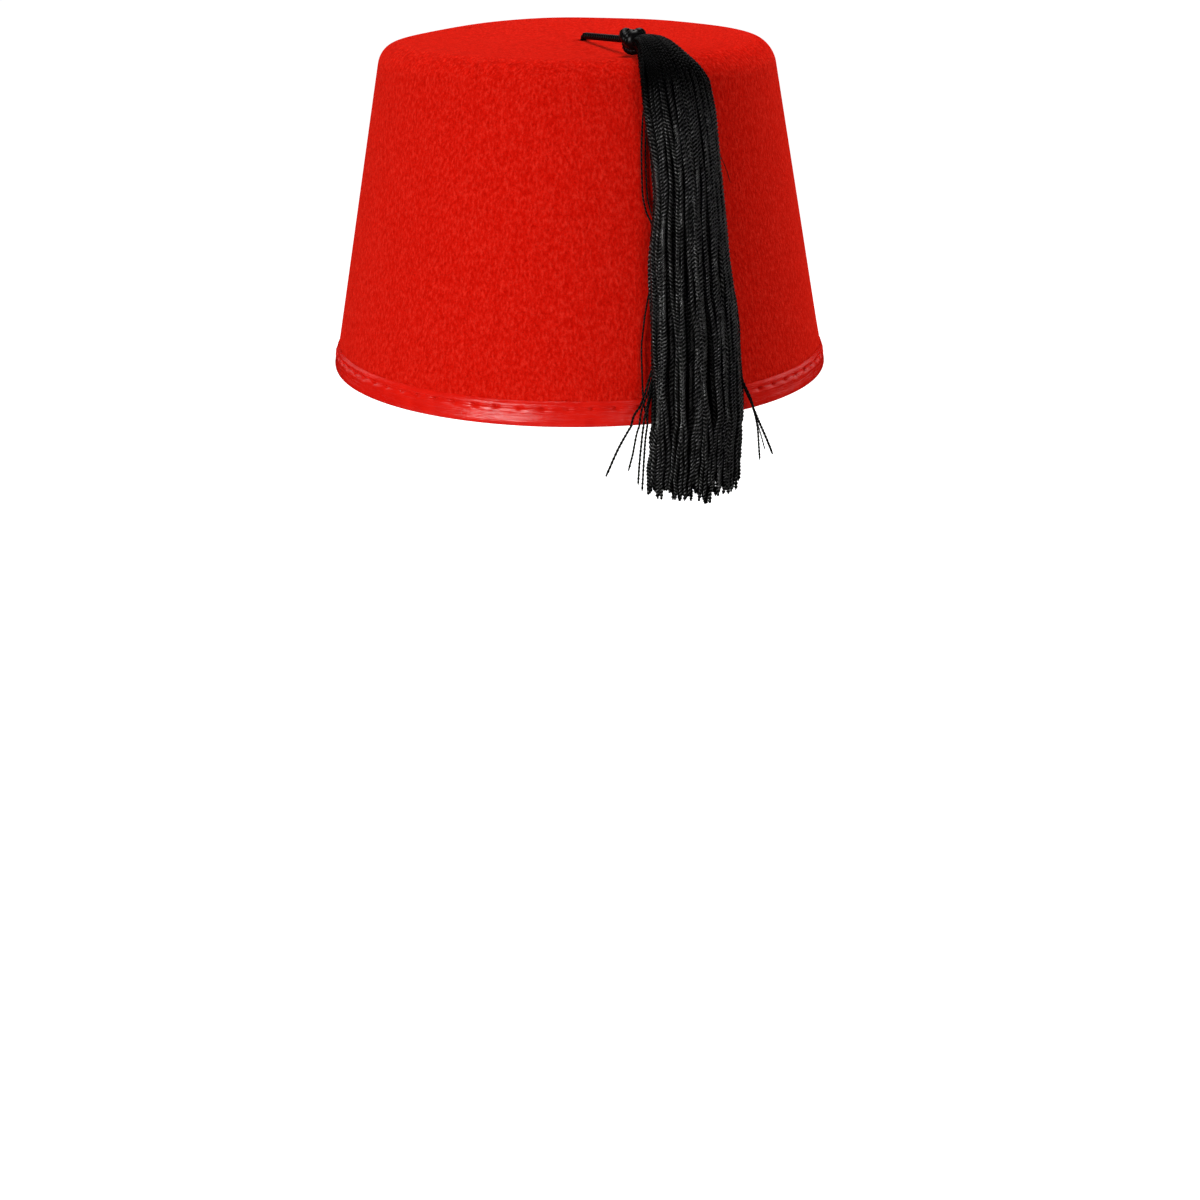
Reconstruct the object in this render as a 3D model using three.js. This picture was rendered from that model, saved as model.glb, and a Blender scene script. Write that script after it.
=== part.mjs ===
// A fez: a stiff felt hat shaped as a cut-off oval cone, open below and flat on top.
// A folded tape binds its rim. A cord comes up through the middle of the top and runs
// forward over it to a knot near the edge. The knot holds a skein of threads, the tassel,
// which lies over the edge and down the wall and hangs below the rim.
// Millimetres, +Z up. The origin is the middle of the rim's plane, where the hat sits on
// a head. The front, with the tassel, faces -Y.
import * as THREE from "three";

// Hat body
const rimHalfWidth = 89;
const rimHalfDepth = 102;
const topHalfWidth = 68.5;
const topHalfDepth = 79;
const hatHeight = 115;
const shoulderRadius = 10;
const topSag = 1.2;
const feltThickness = 2;

// Rim binding
const bindingHeight = 8;
const tapeThickness = 0.6;
const bindingProud = 0.5;

// Cord and knots
const cordDiameter = 2.4;
const knotDiameter = 9.6;
const knotLength = 9;
const knotTurn = THREE.MathUtils.degToRad(19);
const holeShift = 2;
const stopKnotDiameter = 8;
const stopKnotHeight = 5;

// Tassel
const tasselWidth = 37;
const tasselThickness = 8;
const tasselDrop = 31;
const tasselTurn = THREE.MathUtils.degToRad(25);

// Gap between pieces that touch, and the number of flats round the oval
const clearance = 0.3;
const flats = 72;

const { lerp } = THREE.MathUtils;
const cordRadius = cordDiameter / 2;
const feltRimHalfWidth = rimHalfWidth - bindingProud;
const rimStretch = rimHalfDepth - rimHalfWidth;
const topStretch = topHalfDepth - topHalfWidth;

// The outline of the felt, seen from the front: a level top, a round shoulder, a leaning
// wall. The shoulder's arc touches the wall's line and the top's line.
const lean = Math.atan2(feltRimHalfWidth - topHalfWidth, hatHeight);
const shoulderTurn = Math.PI / 2 - lean;
const shoulderSetBack = shoulderRadius * Math.tan(shoulderTurn / 2);
const levelHalfWidth = topHalfWidth + shoulderSetBack * Math.sin(lean) - shoulderRadius * Math.cos(lean);
const shoulderCentreZ = hatHeight - shoulderRadius;
const wallTopZ = shoulderCentreZ + shoulderRadius * Math.sin(lean);

// How much deeper than wide the oval is on each side, at a height
function stretchAt(z) {
  return lerp(rimStretch, topStretch, z / hatHeight);
}

const levelStretch = stretchAt(shoulderCentreZ);

// A row of the wall: its half width on the side, how much deeper it is at the front, and
// its height. The inset is measured square to the felt's outer face.
function wallRow(z, inset) {
  const half = lerp(feltRimHalfWidth, topHalfWidth, z / hatHeight) - inset / Math.cos(lean);
  return { half, stretch: stretchAt(z), z };
}

// Rows round the shoulder, from the wall up to the level top
function shoulderRows(inset, steps) {
  const radius = shoulderRadius - inset;
  return Array.from({ length: steps + 1 }, (_, step) => {
    const angle = lean + (shoulderTurn * step) / steps;
    return {
      half: levelHalfWidth + radius * Math.cos(angle),
      stretch: levelStretch,
      z: shoulderCentreZ + radius * Math.sin(angle),
    };
  });
}

// The top sags a little towards its middle. A share of 1 is where the shoulder starts.
function topRow(share, inset) {
  const z = hatHeight - topSag * (1 - share * share) - inset;
  return { half: levelHalfWidth * share, stretch: levelStretch * share, z };
}

// The points of an oval row, counter-clockwise from above. The shift moves it to the right.
function ovalRing({ half, stretch, z, shift = 0 }) {
  return Array.from({ length: flats }, (_, index) => {
    const angle = (2 * Math.PI * index) / flats;
    return new THREE.Vector3(shift + half * Math.cos(angle), (half + stretch) * Math.sin(angle), z);
  });
}

// A closed body through rings of as many points each. Its rings turn counter-clockwise
// about the way they go. A looped body joins its last ring to its first.
function loopedBody(rings) {
  const geometry = new THREE.BufferGeometry().setFromPoints(rings.flat());
  geometry.setIndex(rings.flatMap((ring, row) => bandIndices(row, (row + 1) % rings.length, ring.length)));
  return geometry;
}

// The triangles between two rings
function bandIndices(lowerRow, upperRow, size) {
  return Array.from({ length: size }, (_, index) => {
    const next = (index + 1) % size;
    const [lower, lowerNext] = [lowerRow * size + index, lowerRow * size + next];
    const [upper, upperNext] = [upperRow * size + index, upperRow * size + next];
    return [lower, lowerNext, upperNext, lower, upperNext, upper];
  }).flat();
}

// A body with two ends has a fan of triangles from a middle point over each end
function endedBody(rings) {
  const size = rings[0].length;
  const points = rings.flat();
  const lastStart = points.length - size;
  const [firstMiddle, lastMiddle] = [points.length, points.length + 1];
  const indices = rings.slice(1).flatMap((_, row) => bandIndices(row, row + 1, size));
  for (let index = 0; index < size; index += 1) {
    const next = (index + 1) % size;
    indices.push(firstMiddle, next, index);
    indices.push(lastMiddle, lastStart + index, lastStart + next);
  }
  points.push(middleOf(rings[0]), middleOf(rings.at(-1)));
  const geometry = new THREE.BufferGeometry().setFromPoints(points);
  geometry.setIndex(indices);
  return geometry;
}

function middleOf(ring) {
  const sum = ring.reduce((total, point) => total.add(point), new THREE.Vector3());
  return sum.divideScalar(ring.length);
}

// Cord bend: the cord rises through the top on a round bend and comes to lie on the felt.
// The hole is as wide as the bent cord needs, from its front side at the outer face of the
// top to its back side at the inner face.
const topMiddleZ = hatHeight - topSag;
const bendRadius = 2 * cordDiameter;
const bendMiddleZ = topMiddleZ + 2 * clearance + cordRadius - bendRadius;
const frontReach = Math.sqrt((bendRadius - cordRadius - clearance) ** 2 - (topMiddleZ - bendMiddleZ) ** 2);
const innerRise = topMiddleZ - feltThickness - bendMiddleZ;
const backReach = Math.sqrt((bendRadius + cordRadius + clearance) ** 2 - innerRise ** 2);
const holeRadius = (backReach - frontReach) / 2;
const holeShare = holeRadius / levelHalfWidth;
const bendMiddle = (backReach + frontReach) / 2;

// Felt crown: one wall of even thickness. Its lower edge is pressed thinner, so that the
// binding stands only a little proud of it, inside and outside.
const edgeWidth = feltThickness + 2 * bindingProud;
const foldRadius = edgeWidth / 2;
const pressedInset = tapeThickness + clearance - bindingProud;
const pressedTopZ = bindingHeight + clearance;
const pressedSlopeZ = pressedTopZ + pressedInset;
const topShares = [0.75, 0.5, 0.25];

// The hole is round, so its rows have no stretch, and it lies a little right of the middle
function holeRow(inset) {
  return { ...topRow(holeShare, inset), stretch: 0, shift: holeShift };
}

function crownGeometry() {
  const innerInset = feltThickness;
  const rows = [
    wallRow(foldRadius, pressedInset),
    wallRow(pressedTopZ, pressedInset),
    wallRow(pressedSlopeZ, 0),
    ...shoulderRows(0, 5),
    ...topShares.map((share) => topRow(share, 0)),
    holeRow(0),
    holeRow(innerInset),
    ...topShares.toReversed().map((share) => topRow(share, innerInset)),
    ...shoulderRows(innerInset, 4).reverse(),
    wallRow(pressedSlopeZ, innerInset),
    wallRow(pressedTopZ, innerInset - pressedInset),
    wallRow(foldRadius, innerInset - pressedInset),
  ];
  return loopedBody(rows.map(ovalRing));
}

// Rim binding: a tape folded round the felt's lower edge. Insets are counted from its
// outer face, which stands proud of the felt.
function bindingRow(z, inset) {
  return wallRow(z, inset - bindingProud);
}

// Rows of a half round below the fold's middle, from one side of the tape to the other
function foldRows(radius, steps, side) {
  return Array.from({ length: steps + 1 }, (_, step) => {
    const angle = (Math.PI * step) / steps;
    const row = bindingRow(foldRadius, foldRadius + side * radius * Math.cos(angle));
    return { ...row, z: foldRadius - radius * Math.sin(angle) };
  });
}

function bindingGeometry() {
  const edgeRound = tapeThickness / 3;
  const roundedZ = bindingHeight - edgeRound;
  const rows = [
    ...foldRows(foldRadius, 6, 1),
    bindingRow(roundedZ, 0),
    bindingRow(bindingHeight, edgeRound),
    bindingRow(bindingHeight, tapeThickness),
    ...foldRows(foldRadius - tapeThickness, 4, -1),
    bindingRow(bindingHeight, edgeWidth - tapeThickness),
    bindingRow(bindingHeight, edgeWidth - edgeRound),
    bindingRow(roundedZ, edgeWidth),
  ];
  return loopedBody(rows.map(ovalRing));
}

// The felt's outline in four parts, from the middle of the top over the shoulder and down
// the wall, then straight down below the rim. A row gives a share of one part, and its
// rise is the angle of the outline's outward side above the level.
function feltRow(part, share) {
  if (part === "top") {
    return { ...topRow(share, 0), rise: Math.PI / 2 };
  }
  if (part === "shoulder") {
    const rise = Math.PI / 2 - shoulderTurn * share;
    return {
      half: levelHalfWidth + shoulderRadius * Math.cos(rise),
      stretch: levelStretch,
      z: shoulderCentreZ + shoulderRadius * Math.sin(rise),
      rise,
    };
  }
  if (part === "wall") {
    return { ...wallRow(wallTopZ * (1 - share), 0), rise: lean };
  }
  return { ...wallRow(0, 0), z: -tasselDrop * share, rise: 0 };
}

// A point over the felt: on a row, at an angle from the front towards +X, lifted square to
// the felt
function feltPoint({ half, stretch, z, rise }, angle, lift) {
  const deep = half + stretch;
  const outward = new THREE.Vector3(deep * Math.sin(angle), -half * Math.cos(angle), 0).normalize();
  const point = new THREE.Vector3(half * Math.sin(angle), -deep * Math.cos(angle), z);
  return point.addScaledVector(outward, lift * Math.cos(rise)).setZ(z + lift * Math.sin(rise));
}

// The tassel knot rests on the felt near the edge of the top, at knotTurn from the front
const knotPlace = 0.925;
const knotRadius = knotDiameter / 2;
const knotMiddle = feltPoint(feltRow("top", knotPlace), knotTurn, knotRadius + clearance);

// Cord, from just above the inner face of the top round its bend and then to the knot. The
// skein's weight holds it taut, so it leaves the bend where the bend points at the knot's
// middle, and runs straight. The places along the straight run are shares of its length.
const tautShares = [0.08, 0.2, 0.35, 0.5, 0.65, 0.82];
const bendSteps = 8;
const holeMiddle = new THREE.Vector3(holeShift, 0, 0);
const knotWay = knotMiddle.clone().sub(holeMiddle).setZ(0);
const cordWay = knotWay.clone().normalize();
const knotAway = new THREE.Vector2(knotWay.length() - bendMiddle, knotMiddle.z - bendMiddleZ);
const firstTurn = Math.asin((innerRise + 2 * clearance) / bendRadius);
const lastTurn = Math.PI - knotAway.angle() - Math.acos(bendRadius / knotAway.length());

function bendPoint(step) {
  const turn = lerp(firstTurn, lastTurn, step / bendSteps);
  const distance = bendMiddle - bendRadius * Math.cos(turn);
  const z = bendMiddleZ + bendRadius * Math.sin(turn);
  return holeMiddle.clone().addScaledVector(cordWay, distance).setZ(z);
}

const bendPoints = Array.from({ length: bendSteps + 1 }, (_, step) => bendPoint(step));
const bendEnd = bendPoints.at(-1);
const knotAxis = knotMiddle.clone().sub(bendEnd).normalize();
const cordEnd = knotMiddle.clone().addScaledVector(knotAxis, -(knotLength / 2 + clearance));
const tautPoints = tautShares.map((share) => bendEnd.clone().lerp(cordEnd, share));
const cordRoute = [...bendPoints, ...tautPoints, cordEnd];

function cordGeometry() {
  const path = new THREE.CatmullRomCurve3(cordRoute, false, "centripetal");
  const sides = 8;
  const section = Array.from({ length: sides }, (_, side) => {
    const angle = (2 * Math.PI * side) / sides;
    return new THREE.Vector2(cordRadius * Math.cos(angle), cordRadius * Math.sin(angle));
  });
  const steps = Math.round(path.getLength() / (cordDiameter / 2));
  return new THREE.ExtrudeGeometry(new THREE.Shape(section), { extrudePath: path, steps });
}

// Stop knot: it keeps the cord's inner end from pulling up through the felt
function stopKnotGeometry() {
  const radius = stopKnotDiameter / 2;
  const profile = [
    new THREE.Vector2(0, 0),
    new THREE.Vector2(radius * 0.55, 0),
    new THREE.Vector2(radius * 0.95, stopKnotHeight * 0.3),
    new THREE.Vector2(radius, stopKnotHeight * 0.6),
    new THREE.Vector2(radius * 0.7, stopKnotHeight),
    new THREE.Vector2(0, stopKnotHeight),
  ];
  return new THREE.LatheGeometry(profile, 20).rotateX(Math.PI / 2);
}

// Tassel knot: the cord wound tight round the head of the skein. It is narrow where the
// cord goes in.
function tasselKnotGeometry() {
  const profile = [
    [0, 0],
    [0.36, 0],
    [0.82, 0.2],
    [1, 0.42],
    [1, 0.62],
    [0.8, 0.86],
    [0.5, 1],
    [0, 1],
  ].map(([across, along]) => new THREE.Vector2(knotRadius * across, knotLength * (along - 0.5)));
  return new THREE.LatheGeometry(profile, 20);
}

// Tassel: the outer form of the skein. Each row says where it is on the felt's outline and
// gives its angle, width and thickness as shares of tasselTurn, tasselWidth and
// tasselThickness. Edge is the share of the thickness where the section is widest. The
// skein rests on the felt and passes clear of the binding, and lift is what it rises over
// that, as a share of the knot's radius.
const skeinRest = bindingProud + clearance;
const skeinStart = knotPlace + (knotLength / 2 + 3 * clearance) / (levelHalfWidth + levelStretch);
const skeinRows = [
  { part: "top", share: skeinStart, angle: 0.84, width: 0.23, thick: 1, edge: 0.5, lift: 0.07 },
  { part: "shoulder", share: 0.3, angle: 0.9, width: 0.36, thick: 1.12, edge: 0.45, lift: 0.02 },
  { part: "shoulder", share: 0.55, angle: 0.945, width: 0.5, thick: 1.12, edge: 0.4, lift: 0 },
  { part: "shoulder", share: 0.8, angle: 0.975, width: 0.63, thick: 1.1, edge: 0.35, lift: 0 },
  { part: "wall", share: 0.02, angle: 1.005, width: 0.7, thick: 1.06, edge: 0.3, lift: 0 },
  { part: "wall", share: 0.08, angle: 1.03, width: 0.735, thick: 1.02, edge: 0.3, lift: 0 },
  { part: "wall", share: 0.35, angle: 1, width: 0.79, thick: 1, edge: 0.3, lift: 0 },
  { part: "wall", share: 0.65, angle: 1.04, width: 0.89, thick: 1, edge: 0.3, lift: 0 },
  { part: "wall", share: 0.85, angle: 1.015, width: 0.95, thick: 1, edge: 0.3, lift: 0 },
  { part: "wall", share: 1, angle: 0.995, width: 0.98, thick: 1, edge: 0.32, lift: 0 },
  { part: "below", share: 0.3, angle: 0.98, width: 1, thick: 1, edge: 0.36, lift: 0 },
  { part: "below", share: 0.85, angle: 0.97, width: 1, thick: 0.95, edge: 0.42, lift: 0.03 },
  { part: "below", share: 1, angle: 0.97, width: 0.9, thick: 0.75, edge: 0.45, lift: 0.18 },
];
const skeinSides = 16;

function skeinRing({ part, share, angle, width, thick, edge, lift }) {
  const row = feltRow(part, share);
  const middle = tasselTurn * angle;
  const reach = Math.hypot(row.half * Math.cos(middle), (row.half + row.stretch) * Math.sin(middle));
  return Array.from({ length: skeinSides }, (_, side) => {
    const round = (2 * Math.PI * side) / skeinSides;
    const swell = Math.sin(round) * (Math.sin(round) > 0 ? 1 - edge : edge);
    const height = skeinRest + lift * knotRadius + tasselThickness * thick * (edge + swell);
    const aside = (Math.cos(round) * tasselWidth * width) / 2 / reach;
    return feltPoint(row, middle + aside, height);
  });
}

function tasselGeometry() {
  return endedBody(skeinRows.map(skeinRing));
}

// Materials
const felt = new THREE.MeshStandardMaterial({ color: 0xcf2013, roughness: 0.95, metalness: 0 });
const satinTape = new THREE.MeshStandardMaterial({ color: 0xc61a10, roughness: 0.4, metalness: 0 });
const blackCord = new THREE.MeshStandardMaterial({ color: 0x141414, roughness: 0.6, metalness: 0 });
const blackThread = new THREE.MeshStandardMaterial({ color: 0x1b1b1a, roughness: 0.55, metalness: 0 });

const hat = new THREE.Group();

function add(name, geometry, material) {
  const mesh = new THREE.Mesh(geometry, material.clone());
  mesh.name = name;
  hat.add(mesh);
  return mesh;
}

add("crown", crownGeometry(), felt);
add("rim_binding", bindingGeometry(), satinTape);
add("tassel_cord", cordGeometry(), blackCord);
add("tassel", tasselGeometry(), blackThread);

const stopKnot = add("stop_knot", stopKnotGeometry(), blackCord);
stopKnot.position.set(holeShift, 0, topMiddleZ - feltThickness - clearance - stopKnotHeight);

const tasselKnot = add("tassel_knot", tasselKnotGeometry(), blackCord);
tasselKnot.position.copy(knotMiddle);
tasselKnot.quaternion.setFromUnitVectors(new THREE.Vector3(0, 1, 0), knotAxis);

export default hat;
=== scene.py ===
# %% [markdown]
# # A red felt fez with a black tassel
# The hat is a stiff cone of wool felt with an oval rim, open below. A glossy red tape is
# folded round the rim and stitched. A black cord comes up through the middle of the top,
# runs forward to a knot near the edge, and the knot holds a skein of black twisted threads.
#
# The CAD model is loaded first. Each piece made here stands where its CAD node stands. All
# lengths are in metres.

# %% Load the CAD model
import math

import bpy
import numpy as np
from mathutils import Matrix, Vector


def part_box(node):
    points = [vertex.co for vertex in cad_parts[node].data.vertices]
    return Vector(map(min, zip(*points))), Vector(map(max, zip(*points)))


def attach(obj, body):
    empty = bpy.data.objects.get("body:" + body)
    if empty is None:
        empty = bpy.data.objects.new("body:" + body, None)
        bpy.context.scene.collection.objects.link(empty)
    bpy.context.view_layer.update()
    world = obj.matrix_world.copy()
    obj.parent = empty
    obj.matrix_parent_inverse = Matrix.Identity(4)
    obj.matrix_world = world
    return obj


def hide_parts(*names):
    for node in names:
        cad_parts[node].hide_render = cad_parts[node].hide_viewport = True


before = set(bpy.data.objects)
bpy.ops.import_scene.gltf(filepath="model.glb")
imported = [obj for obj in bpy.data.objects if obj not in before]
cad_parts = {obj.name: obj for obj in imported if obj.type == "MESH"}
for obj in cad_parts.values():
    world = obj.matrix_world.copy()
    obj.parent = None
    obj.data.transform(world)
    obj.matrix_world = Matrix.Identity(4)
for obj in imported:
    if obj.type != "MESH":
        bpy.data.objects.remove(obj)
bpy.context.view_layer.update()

MM = 0.001
rng = np.random.default_rng(7)

# %% [markdown]
# ## The sizes of the felt
# The same sizes as the CAD source, because every piece lies on the felt or goes through
# it. The outline is a level top, a round shoulder and a leaning wall. Each row of it is an
# oval, deeper than wide.

# %% Sizes and outline of the felt
HAT_HEIGHT = 115 * MM
RIM_HALF_WIDTH = 89 * MM
RIM_STRETCH = 13 * MM
TOP_HALF_WIDTH = 68.5 * MM
TOP_STRETCH = 10.5 * MM
SHOULDER_RADIUS = 10 * MM
TOP_SAG = 1.2 * MM
FELT = 2 * MM
PROUD = 0.5 * MM
CLEARANCE = 0.3 * MM
FELT_RIM_HALF = RIM_HALF_WIDTH - PROUD
LEAN = math.atan2(FELT_RIM_HALF - TOP_HALF_WIDTH, HAT_HEIGHT)
SHOULDER_TURN = math.pi / 2 - LEAN
SET_BACK = SHOULDER_RADIUS * math.tan(SHOULDER_TURN / 2)
LEVEL_HALF = TOP_HALF_WIDTH + SET_BACK * math.sin(LEAN) - SHOULDER_RADIUS * math.cos(LEAN)
SHOULDER_Z = HAT_HEIGHT - SHOULDER_RADIUS
WALL_TOP_Z = SHOULDER_Z + SHOULDER_RADIUS * math.sin(LEAN)
LEVEL_STRETCH = RIM_STRETCH + (TOP_STRETCH - RIM_STRETCH) * SHOULDER_Z / HAT_HEIGHT
TASSEL_DROP = 31 * MM
HANG_FROM, HANG_TO = 2.92, 3.1


def wall_row(z, inset):
    """A row of the leaning wall. Half width: a straight line from the rim's to the top's
    with height z, less the inset square to the wall. Depth: half width plus a stretch
    that also changes evenly with z."""
    share = z / HAT_HEIGHT
    half = FELT_RIM_HALF + (TOP_HALF_WIDTH - FELT_RIM_HALF) * share - inset / math.cos(LEAN)
    return half, half + RIM_STRETCH + (TOP_STRETCH - RIM_STRETCH) * share


def smooth_step(value, low, high):
    """0 below low, 1 above high, and 3t^2 - 2t^3 between them."""
    t = np.clip((value - low) / (high - low), 0, 1)
    return t * t * (3 - 2 * t)


def felt_row(path, inset=0.0):
    """The outline at a path value: 0 to 1 is the level top from its middle, 1 to 2 the
    shoulder, 2 to 3 the wall, 3 to 4 straight down below the rim. Gives half width, half
    depth, height and rise, the angle of the outward side above the level. The shoulder
    is an arc: half = level half + r cos(rise), z = centre + r sin(rise). Below the rim
    the rise is 0."""
    path = np.asarray(path, float)
    top = np.clip(path, 0, 1)
    turn = np.clip(path - 1, 0, 1)
    down = np.clip(path - 2, 0, 1)
    below = np.clip(path - 3, 0, 1)
    rise = math.pi / 2 - SHOULDER_TURN * turn
    radius = SHOULDER_RADIUS - inset
    wall_z = WALL_TOP_Z * (1 - down)
    wall_half, wall_deep = wall_row(wall_z, inset)
    parts = [path < 1, path < 2]
    level_deep = LEVEL_HALF + LEVEL_STRETCH
    half = np.select(parts, [LEVEL_HALF * top, LEVEL_HALF + radius * np.cos(rise)], wall_half)
    deep = np.select(parts, [level_deep * top, level_deep + radius * np.cos(rise)], wall_deep)
    top_z = HAT_HEIGHT - TOP_SAG * (1 - top ** 2) - inset
    z = np.select(parts, [top_z, SHOULDER_Z + radius * np.sin(rise)], wall_z - TASSEL_DROP * below)
    return half, deep, z, rise * (1 - smooth_step(path, HANG_FROM, HANG_TO))


def felt_point(path, angle, lift):
    """A point over the felt. The oval gives (half sin a, -deep cos a, z) for the angle a
    from the front towards +X, and the lift is added along the felt's outward side."""
    half, deep, z, rise = felt_row(path)
    out_x, out_y = deep * np.sin(angle), -half * np.cos(angle)
    size = np.hypot(out_x, out_y) + 1e-12
    level = lift * np.cos(rise)
    return np.stack([half * np.sin(angle) + level * out_x / size,
                     -deep * np.cos(angle) + level * out_y / size,
                     z + lift * np.sin(rise)], axis=-1)


print("lean of the wall:", round(math.degrees(LEAN), 2), "degrees")

# %% [markdown]
# ## The camera
# It looks at the front from a little above. The eye's place, the way it looks and the
# lens were found by matching the photograph's rim, top and height.

# %% Camera
EYE_DISTANCE = 0.90822
EYE_RISE = 0.162
EYE_OVER_Z = 0.05718
YAW, PITCH, ROLL = 0.00771, 0.32005, -0.00528
FOCAL_SHARE = 2503.33 / 1200
SENSOR_WIDTH = 36
eye = np.array([0, -EYE_DISTANCE * math.cos(EYE_RISE), EYE_OVER_Z + EYE_DISTANCE * math.sin(EYE_RISE)])
forward = np.array([math.sin(YAW) * math.cos(PITCH), math.cos(YAW) * math.cos(PITCH), -math.sin(PITCH)])
right = np.cross(forward, [0, 0, 1.0])
right /= np.linalg.norm(right)
up = np.cross(right, forward)
camera_right = math.cos(ROLL) * right + math.sin(ROLL) * up
camera_up = math.cos(ROLL) * up - math.sin(ROLL) * right

camera_data = bpy.data.cameras.new("camera")
camera_data.sensor_width = SENSOR_WIDTH
camera_data.lens = FOCAL_SHARE * SENSOR_WIDTH
camera_data.clip_end = 100
camera = bpy.data.objects.new("camera", camera_data)
bpy.context.scene.collection.objects.link(camera)
matrix = np.eye(4)
matrix[:3] = np.stack([camera_right, camera_up, -forward, eye], axis=1)
camera.matrix_world = Matrix(matrix.tolist())
bpy.context.scene.camera = camera
print("lens:", round(camera_data.lens, 1), "mm")

# %% [markdown]
# ## Helpers for meshes
# A tube could be a curve with a bevel, but a twisted thread isn't round. So every tube is
# a grid of rings, worked out at once for all tubes, and faces join each ring to the next.

# %% Mesh helpers
def make_piece(name, points, faces, finish, uv=None):
    """One mesh object from points and a list of face arrays, each of one corner count.
    uv gives two numbers for each face corner, in the order of the faces."""
    mesh = bpy.data.meshes.new(name)
    corners = np.concatenate([f.ravel() for f in faces]).astype(np.int32)
    totals = np.concatenate([np.full(len(f), f.shape[1]) for f in faces]).astype(np.int32)
    mesh.vertices.add(len(points))
    mesh.vertices.foreach_set("co", np.asarray(points, np.float32).ravel())
    mesh.loops.add(len(corners))
    mesh.loops.foreach_set("vertex_index", corners)
    mesh.polygons.add(len(totals))
    starts = np.concatenate([[0], np.cumsum(totals)[:-1]]).astype(np.int32)
    mesh.polygons.foreach_set("loop_start", starts)
    mesh.polygons.foreach_set("loop_total", totals)
    mesh.update(calc_edges=True)
    mesh.validate()
    mesh.shade_smooth()
    if uv is not None:
        layer = mesh.uv_layers.new(name="along_piece")
        layer.data.foreach_set("uv", np.asarray(uv, np.float32).ravel())
    piece = bpy.data.objects.new(name, mesh)
    piece.data.materials.append(finish.material)
    bpy.context.scene.collection.objects.link(piece)
    print(name, "triangles:", int((totals - 2).sum()))
    return piece


def grid_places(tubes, rings, sides, loop_rings):
    """The tube, ring and side of each quad of a grid, rings looping to the first or not."""
    last = rings if loop_rings else rings - 1
    return np.meshgrid(np.arange(tubes), np.arange(last), np.arange(sides), indexing="ij")


def grid_faces(tubes, rings, sides, loop_rings=False):
    """Quads of tubes x rings x sides points, each ring closed round its sides. Corner
    order: this ring's side j, side j+1, next ring's side j+1, side j."""
    t, i, j = grid_places(tubes, rings, sides, loop_rings)
    here, there = t * rings * sides + i * sides, t * rings * sides + ((i + 1) % rings) * sides
    nxt = (j + 1) % sides
    return np.stack([here + j, here + nxt, there + nxt, there + j], axis=-1).reshape(-1, 4)


def cap_faces(tubes, rings, sides):
    """One face over each tube's first ring, turned back, and one over its last ring."""
    side = np.arange(sides)
    start = np.arange(tubes)[:, None] * rings * sides
    return np.concatenate([start + side[::-1], start + (rings - 1) * sides + side])


def grid_uv(tubes, rings, sides, u_ring, v_side, loop_rings=False):
    """The two numbers of each quad's corners. u_ring has rings + 1 values when the
    rings loop, v_side has sides + 1 values, so the pattern doesn't jump at a seam."""
    t, i, j = grid_places(tubes, rings, sides, loop_rings)
    u_ring, v_side = np.atleast_2d(u_ring), np.asarray(v_side)
    t = np.minimum(t, len(u_ring) - 1)
    u0, u1, v0, v1 = u_ring[t, i], u_ring[t, i + 1], v_side[j], v_side[j + 1]
    corners = [(u0, v0), (u0, v1), (u1, v1), (u1, v0)]
    return np.stack([np.stack(pair, -1) for pair in corners], axis=-2).reshape(-1, 2)


# %% [markdown]
# ## Twisted threads and cords
# A twisted thread is two or three plies turned round each other. Its section has as many
# lobes as plies, and turns as it moves along. That gives a thread's slanted strokes in the
# shape itself.

# %% Twisted tubes along paths
def unit(vectors):
    """Vectors scaled to length 1."""
    return vectors / (np.linalg.norm(vectors, axis=-1, keepdims=True) + 1e-12)


def resample(lines, count):
    """Each line's points moved to equal steps of its own length. Gives the points, the
    length run at each of them, and the length run at each of the old points."""
    steps = np.linalg.norm(np.diff(lines, axis=1), axis=2)
    run = np.concatenate([np.zeros((len(lines), 1)), np.cumsum(steps, axis=1)], axis=1)
    even = run[:, -1:] * np.linspace(0, 1, count)
    points = [np.stack([np.interp(even[k], run[k], lines[k, :, axis]) for axis in range(3)], axis=-1)
              for k in range(len(lines))]
    return np.stack(points), even, run


def oval_points(half, deep, angle, z):
    """Points (half cos a, deep sin a, z), with the angle a from +X towards the back."""
    return np.stack([half * np.cos(angle), deep * np.sin(angle), z], axis=-1)


def square_to(vectors, along):
    """The part of each vector that is square to a direction, at length 1."""
    return unit(vectors - (vectors * along).sum(-1, keepdims=True) * along)


def rings_round(middle, first, second, reach, angle):
    """Rings of points: middle + reach (first cos angle + second sin angle)."""
    return (middle[..., None, :] + (reach * np.cos(angle))[..., None] * first[..., None, :]
            + (reach * np.sin(angle))[..., None] * second[..., None, :])


def twisted_rings(lines, run, radius, outward, sides, plies, pitch, phase, depth):
    """Rings round lines of points. At side angle s the radius is r (1 - depth + depth c),
    where c = |cos(plies s / 2)|^1.5 for the lobes, and the ring turns by 2 pi for each
    pitch of length, to one side or the other with the pitch's sign."""
    along = unit(np.gradient(lines, axis=1))
    normal = square_to(outward, along)
    side = 2 * np.pi * np.arange(sides) / sides
    lobe = 1 - depth + depth * np.abs(np.cos(plies * side / 2)) ** 1.5
    angle = side + (2 * np.pi * run / pitch[:, None] + phase.reshape(len(lines), -1))[..., None]
    return rings_round(lines, normal, np.cross(along, normal), radius[..., None] * lobe, angle)


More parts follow.
